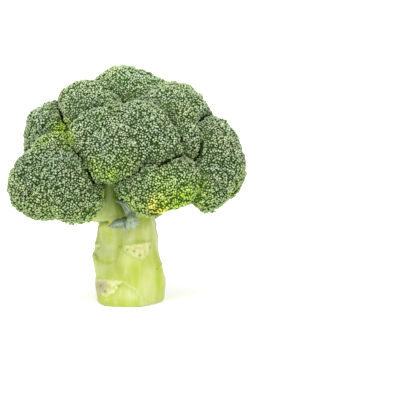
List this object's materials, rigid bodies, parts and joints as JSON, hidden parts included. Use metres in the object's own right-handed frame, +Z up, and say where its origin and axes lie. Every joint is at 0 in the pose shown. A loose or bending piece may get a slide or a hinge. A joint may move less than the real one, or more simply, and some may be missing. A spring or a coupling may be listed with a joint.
{
  "type": "broccoli head",
  "caption": "Whole fresh head of green sprouting florets on a thick pale stalk with trimmed leaf stubs, standing on its cut end.",
  "frame": {"origin": "middle of the flat cut end of the stalk", "axes": "+Z up along the stalk, -Y to the front, +X to the viewer's right"},
  "size_m": [0.1593, 0.142, 0.1619],
  "materials": {
    "stalk": "smooth waxy skin",
    "buds": "beaded, matt",
    "leaf": "matt with a bluish bloom"
  },
  "bodies": {
    "root": {"stalk": "stalk", "floret_crown_top": "buds", "floret_upper_left": "buds", "floret_outer_left": "buds", "floret_front_centre": "buds", "floret_upper_right": "buds", "floret_outer_right": "buds", "floret_low_left": "buds", "floret_low_front": "buds", "floret_back_left": "buds", "floret_back_right": "buds", "floret_back_upper": "buds", "floret_back_low": "buds", "leaf_front": "leaf", "leaf_front_upper": "leaf", "leaf_back_right": "leaf", "leaf_back_left": "leaf"}
  },
  "joints": []
}
